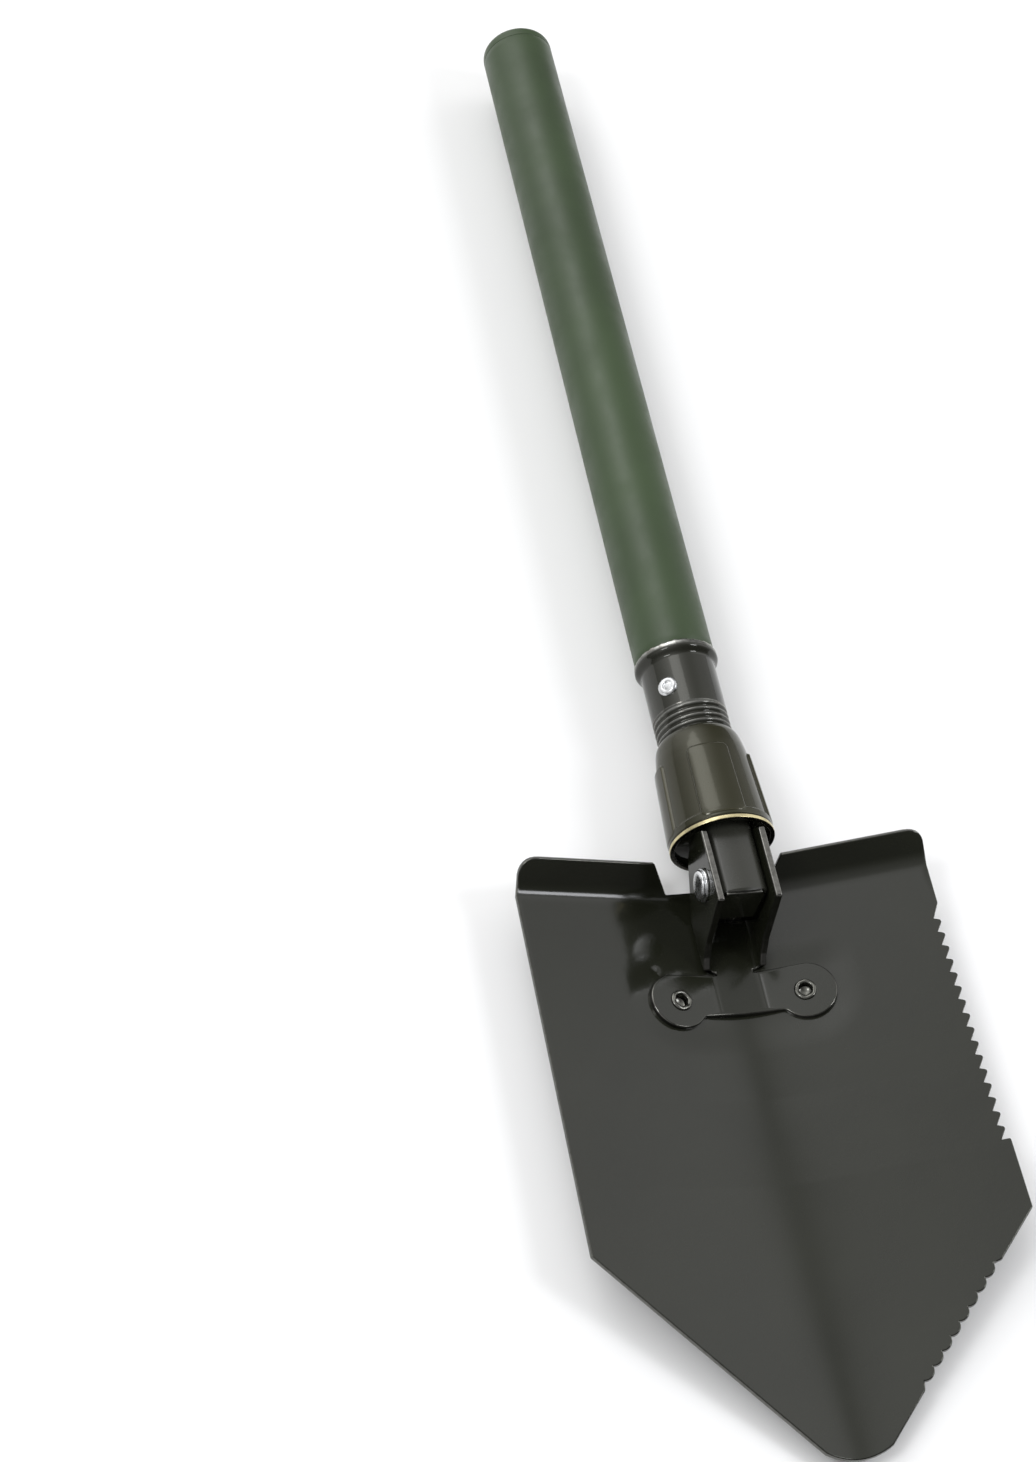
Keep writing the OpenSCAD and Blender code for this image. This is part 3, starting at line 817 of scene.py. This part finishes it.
def blade_outline():
    """The flat sheet's outline: x, and the way along the sheet from the tip up over the fold."""
    points, radii = [], []

    def corner(x, v, r=0.0):
        points.append((x, v))
        radii.append(r)

    inner_top, inner_low, tread_top, tread_corner = 26.0, 19.0, 6.9, 8.5
    corner(-inner_top, tread_top, 1.0)
    corner(-HALF_W - 0.3, tread_top, tread_corner)
    corner(-HALF_W, FOLD_Y - 3, 0)
    corner(-HALF_W, SHOULDER_Y, 1.0)

    tip_half, tip_bulge = 11.3, 3
    tip_r = (tip_half ** 2 + tip_bulge ** 2) / (2 * tip_bulge)
    for turn in np.linspace(-1, 1, 15):
        a = math.asin(tip_half / tip_r) * turn
        corner(tip_r * math.sin(a), TIP_Y + tip_r - tip_r * math.cos(a))

    edge = np.array([tip_half - HALF_W, TIP_Y + tip_bulge - SHOULDER_Y])
    edge /= np.linalg.norm(edge)
    inward = np.array([edge[1], -edge[0]])

    def on_edge(along, depth):
        """A place on the slanted edge, measured from the right shoulder."""
        return tuple(np.array([HALF_W, SHOULDER_Y]) + edge * along + inward * depth)

    scallops, scallop, first_scallop, bite, lobe_r = 8, 5.9, 24.2, 1.6, 3.6
    last_scallop = first_scallop + scallops * scallop
    lobe_in = bite + math.sqrt(lobe_r ** 2 - (scallop / 2) ** 2)
    spread = math.asin(scallop / 2 / lobe_r)
    corner(*on_edge(last_scallop + 2.6, 0), 1.5)
    corner(*on_edge(last_scallop, bite))
    for i in reversed(range(scallops)):
        for t in np.linspace(1, -1, 11)[1:]:
            a = t * spread
            corner(*on_edge(first_scallop + (i + 0.5) * scallop + lobe_r * math.sin(a),
                            lobe_in - lobe_r * math.cos(a)))
    corner(*on_edge(first_scallop - 2.6, 0), 1.5)
    corner(HALF_W, SHOULDER_Y, 1.0)

    teeth, tooth, valley_x, first_valley = 16, 5.4, HALF_W - 3.1, -29.2
    corner(HALF_W, first_valley - teeth * tooth, 0.8)
    corner(valley_x, first_valley - teeth * tooth)
    for i in reversed(range(teeth)):
        corner(HALF_W - 0.4, first_valley - tooth * i - 1.1, 1.2)
        corner(valley_x, first_valley - tooth * i)
    corner(HALF_W - 0.2, first_valley + 5.9, 2.0)
    corner(HALF_W, FOLD_Y - 3, 0)
    corner(HALF_W + 0.3, tread_top, tread_corner)
    corner(inner_top, tread_top, 1.0)
    corner(inner_low, FOLD_Y - 0.3, 1.0)
    corner(-inner_low, FOLD_Y - 0.3, 1.0)
    return rounded(points, radii, 7)


def blade():
    """Blade and its two foot treads, which are the same sheet bent forward along the fold."""
    bend_r, bend = 7.0, math.radians(55)
    start = FOLD_Y - (BLADE_T / 2 + bend_r) * math.tan(bend / 2)
    wing = math.atan(0.234)     # slope of the blade's two wings
    tread_in, fade = 13, 6      # the fold dies out here, in the notch behind the hinge

    def surface(uv):
        u, v = uv[:, 0], uv[:, 1]
        s = v - start
        a = np.clip(s / bend_r, 0, bend)
        past = np.maximum(s - bend_r * bend, 0)
        y = np.minimum(v, start) + bend_r * np.sin(a) + past * math.cos(bend)
        rise = bend_r * (1 - np.cos(a)) + past * math.sin(bend)
        rise = rise * smooth((np.abs(u) - tread_in) / fade)
        x = u - np.tanh(u / fade) * rise * math.sin(wing)
        z = blade_face(u, np.minimum(v, start)) + rise * math.cos(wing)
        return np.stack([x, y, z], 1)

    sheet("blade_sheet", blade_outline(), surface, BLADE_T, 1.6, rim=0.45,
          holes=RIVET_HOLES, fine=[(*DENT, 4.5, 0.45)],
          material=BLADE, body="blade", slot="blade_paint", stands_for=["blade"])


# ---------------------------------------------------------------- hinge


def lug_face(x):
    """Height of the bracket's face: a flat base, and lugs that lie along the dish."""
    crease_x, crease_w = 8.6, 0.8
    past = np.maximum(np.abs(x) - crease_x, 0)
    crease = 0.22 * np.exp(-((np.abs(x) - crease_x) / crease_w) ** 2)
    return -20.4 + 0.245 * (np.sqrt(past * past + 0.2) - 0.45) - crease


def bracket():
    """U-bracket: a base between two ears, and a lug beside each ear's foot, all one sheet."""
    base_half = 7.6
    bend_r = EAR_IN - base_half
    arc = bend_r * math.pi / 2
    base_z = float(lug_face(0))
    ear_z = base_z + bend_r
    split = -36.75      # the ears stand above this, the lugs lie below it
    base_top = -17

    def surface(uv):
        u, v = uv[:, 0], uv[:, 1]
        s = np.abs(u)
        past = np.clip(s - base_half, 0, arc)
        a = past / bend_r
        up = np.maximum(s - base_half - arc, 0)
        bent_x = np.minimum(s, base_half) + bend_r * np.sin(a)
        bent_z = base_z + bend_r * (1 - np.cos(a)) + up
        flat = v < split
        x = np.where(flat, s, bent_x)
        z = np.where(flat, lug_face(u), bent_z)
        return np.stack([np.sign(u) * x, v, z], 1)

    def on_ear(y, z):
        """The flat place of a point of the ear."""
        return base_half + arc + (z - ear_z), y

    front, reach = 14.0, 19.3
    top = HINGE_Y + math.sqrt(reach ** 2 - (front - HINGE_Z) ** 2)
    right, radii = [], []

    def corner(p, r=0.0):
        right.append(p)
        radii.append(r)

    lug_r, foot = 10.5, -53.5
    meet = math.asin((foot - LUG_Y) / lug_r)
    corner((0, foot))
    corner((RIVET_X - lug_r * math.cos(meet) - 0.3, foot), 2.0)
    for a in np.linspace(math.pi - meet, 2 * math.pi + math.radians(80), 44)[1:]:
        corner((RIVET_X + lug_r * math.cos(a), LUG_Y + lug_r * math.sin(a)))
    corner((20, split - 0.45), 2.0)
    corner((base_half + 0.3, split - 0.45))
    corner((base_half - 0.6, split - 0.4))
    corner((base_half - 0.6, split + 0.4))
    corner((base_half + 0.3, split + 0.45))
    corner(on_ear(-35.9, -18.3), 1.0)
    corner(on_ear(-33.2, -15), 3.0)
    corner(on_ear(-30.5, -9), 4.0)
    corner(on_ear(-26, front), 1.0)
    corner(on_ear(top, front), 1.2)
    for z in np.linspace(front - 1.5, -6, 14):
        corner(on_ear(HINGE_Y + math.sqrt(reach ** 2 - (z - HINGE_Z) ** 2), z))
    corner(on_ear(top, -7), 1.0)
    corner(on_ear(-15.6, ear_z + 0.2), 3.0)
    corner((base_half - 0.5, base_top), 1.0)
    corner((0, base_top))
    points = rounded(right, radii, 6, closed=False)
    points = [p for i, p in enumerate(points) if i == 0 or (p - points[i - 1]).length > 0.02]
    mirrored = [Vector((-p.x, p.y)) for p in reversed(points[1:-1])]

    sheet("hinge_bracket_sheet", points + mirrored, surface, EAR_T, 0.9, rim=0.6,
          holes=RIVET_HOLES, material=LIT_EDGE_BLADE_PAINT, body="blade", slot="blade_paint",
          stands_for=["hinge_bracket"])


def blade_rivets():
    """Tubular rivets: rolled lip on the lug, flat head on the blade's back."""
    tilt = math.atan(0.232)
    lip = [(3.15 + 0.8 * math.cos(a), 2.62 + 0.62 * math.sin(a))
           for a in np.linspace(-0.6, math.pi + 0.2, 16)]
    profile = [(0, -BLADE_T - 1.2), (4.2, -BLADE_T - 1.2), (4.9, -BLADE_T - 0.9),
               (5.0, -BLADE_T - 0.45), (HOLE_R, -BLADE_T - 0.4), (HOLE_R, 2.3)]
    profile += lip + [(2.3, 2.0), (2.3, 0.1), (1.6, -0.35), (0, -0.5)]

    def shape(r, h, a):
        """The rolled lip is a little uneven."""
        if r > 2.25 and h > 2.4:
            return r + 0.07 * math.sin(6 * a) * (h - 2.3), h + 0.05 * math.sin(5 * a + 1)
        return r, h

    for name, side in (("rivet_left", -1), ("rivet_right", 1)):
        at = (side * RIVET_X, LUG_Y, float(lug_face(RIVET_X)) - EAR_T)
        turned(name + "_tube", profile, at, (-side * math.sin(tilt), 0, math.cos(tilt)), 96,
               shape=shape, material=DARK_STEEL, body="blade", slot="dark_steel",
               stands_for=[name])


def hinge_rivet():
    """Rivet with a low domed head over a washer; the other end is hammered flat on the ear."""
    bright = dict(material=STEEL, body="blade", slot="bright_steel")
    at = (0, HINGE_Y, HINGE_Z)
    ear_out = EAR_IN + EAR_T
    washer_top = ear_out + 1
    pin_r, head_r, tail_r, washer_r = 3, 5.4, 4.2, 6.0

    rise, dome_h = washer_top + 0.7, 1.4
    head = [(0, 0), (pin_r, 0), (pin_r, washer_top), (head_r - 0.2, washer_top),
            (head_r, washer_top + 0.25)]
    head += [(head_r * math.cos(a), rise + dome_h * math.sin(a) ** 0.9)
             for a in np.linspace(0, math.pi / 2 * 0.97, 22)]
    head += [(0, rise + dome_h)]
    turned("hinge_rivet_head", head, at, (-1, 0, 0), 96, stands_for=["hinge_rivet"], **bright)

    tail = [(0, -0.5), (pin_r, -0.5), (pin_r, ear_out), (tail_r - 0.1, ear_out)]
    tail += [(tail_r * math.cos(a), ear_out + 0.2 + 0.7 * math.sin(a))
             for a in np.linspace(0, 1.5, 9)]
    tail += [(0, ear_out + 0.9)]
    turned("hinge_rivet_tail", tail, at, (1, 0, 0), 96, stands_for=["hinge_rivet"], **bright)

    bore_r = pin_r + 0.05
    ring = rounded([(bore_r, ear_out), (washer_r, ear_out), (washer_r, washer_top),
                    (bore_r, washer_top)], 0.3, 3)
    turned("rivet_washer_ring", [tuple(p) for p in ring], at, (-1, 0, 0), 96,
           stands_for=["rivet_washer"], **bright)


# ---------------------------------------------------------------- studio


def camera():
    """The camera stands in front of the blade's left side, looks down, and leans a little. It
    aims to the left of the shovel's middle, a little towards the tip and below the axis."""
    azimuth, elevation, lean = math.radians(-24.339), math.radians(54.778), math.radians(-16.733)
    distance = 0.94631
    left, forward, below = 0.05787, 0.02727, 0.02454
    middle = (cad_lo + cad_hi) / 2
    aim = Vector((middle.x - left, middle.y - forward, ORIGIN.z - below))
    back = Vector((math.sin(azimuth) * math.cos(elevation),
                   -math.cos(azimuth) * math.cos(elevation), math.sin(elevation)))
    data = bpy.data.cameras.new("camera")
    data.sensor_width = 36
    data.lens = 62.63
    data.clip_start = 0.01
    obj = bpy.data.objects.new("camera", data)
    obj.location = aim + back * distance
    obj.rotation_mode = "QUATERNION"
    obj.rotation_quaternion = (-back).to_track_quat("-Z", "Y") @ Quaternion((0, 0, 1), -lean)
    bpy.context.scene.collection.objects.link(obj)
    bpy.context.scene.camera = obj


def toward(azimuth, elevation):
    """Direction of a place round the object: azimuth 0 is the butt's way, 90 the saw edge's."""
    a, e = math.radians(azimuth), math.radians(elevation)
    return Vector((math.sin(a) * math.cos(e), math.cos(a) * math.cos(e), math.sin(e)))


def softbox(name, azimuth, elevation, distance, size, radiance, colour=(1, 1, 1)):
    """A rectangular area light aimed at the hinge, of a given brightness."""
    data = bpy.data.lights.new(name, "AREA")
    data.shape = "RECTANGLE"
    data.size, data.size_y = size
    data.energy = radiance * math.pi * size[0] * size[1]
    data.color = colour
    obj = bpy.data.objects.new(name, data)
    way = toward(azimuth, elevation)
    obj.location = ORIGIN + way * distance
    obj.rotation_mode = "QUATERNION"
    obj.rotation_quaternion = (-way).to_track_quat("-Z", "Y")
    bpy.context.scene.collection.objects.link(obj)


def studio_walls():
    """Soft glow of the studio: a dim room with broad lobes of light, as a world colour."""
    lobes = (   # azimuth, elevation, strength, sharpness
        (-27, 47, 2.0, 10), (72, 40, 1.35, 16), (75, 8, 1.1, 14), (-30, 12, 1.2, 8),
        (-110, 50, 1.1, 6), (40, 60, 0.35, 12),
    )
    world = bpy.data.worlds.new("studio")
    bpy.context.scene.world = world
    world.use_nodes = True
    tree = world.node_tree
    direction = tree.nodes.new("ShaderNodeTexCoord").outputs["Generated"]

    total = 0.13
    for azimuth, elevation, strength, sharpness in lobes:
        dot = tree.nodes.new("ShaderNodeVectorMath")
        dot.operation = "DOT_PRODUCT"
        tree.links.new(direction, dot.inputs[0])
        dot.inputs[1].default_value = toward(azimuth, elevation)
        away = maths(tree, "SUBTRACT", dot.outputs["Value"], 1.0)
        glow = maths(tree, "EXPONENT", maths(tree, "MULTIPLY", away, sharpness), 0.0)
        total = maths(tree, "ADD", maths(tree, "MULTIPLY", glow, strength), total)
    tree.links.new(total, tree.nodes["Background"].inputs["Strength"])
    tree.nodes["Background"].inputs["Color"].default_value = (1, 1, 1, 1)


def studio():
    """Pale paper floor and three softboxes."""
    floor_mesh = bpy.data.meshes.new("floor")
    reach = 6.0
    z = cad_lo.z
    floor_mesh.from_pydata(
        [(-reach, -reach, z), (reach, -reach, z), (reach, reach, z), (-reach, reach, z)],
        [], [(0, 1, 2, 3)]
    )
    floor = bpy.data.objects.new("floor", floor_mesh)
    bpy.context.scene.collection.objects.link(floor)
    m = Nodes("floor_paper")
    tone = m.mix(m.noise(3, 2), (0.86, 0.86, 0.86), (0.9, 0.9, 0.9))
    m.link(tone, m.shader.inputs["Base Color"])
    m.set(Roughness=0.9)
    floor_mesh.materials.append(m.material)

    studio_walls()
    softbox("key", -26, 46, 1.6, (0.62, 0.8), 1.6)
    softbox("glint", 105, 50, 1.6, (0.4, 0.45), 11.0, (0.95, 0.96, 1.0))
    softbox("left_glint", -96, 52, 1.6, (0.38, 0.42), 11.0, (0.97, 0.98, 1.0))
    bpy.context.scene.view_settings.view_transform = "Standard"


handle_pieces()
neck_socket()
neck_tongue()
neck_rivet()
lock_collar()
mouth_ring()
lock_plate()
blade()
bracket()
blade_rivets()
hinge_rivet()
for hidden, finish in (("neck_core", WOOD), ("hinge_spacer", STEEL)):
    frame["nodes"][hidden].data.materials.clear()
    frame["nodes"][hidden].data.materials.append(finish)
camera()
studio()
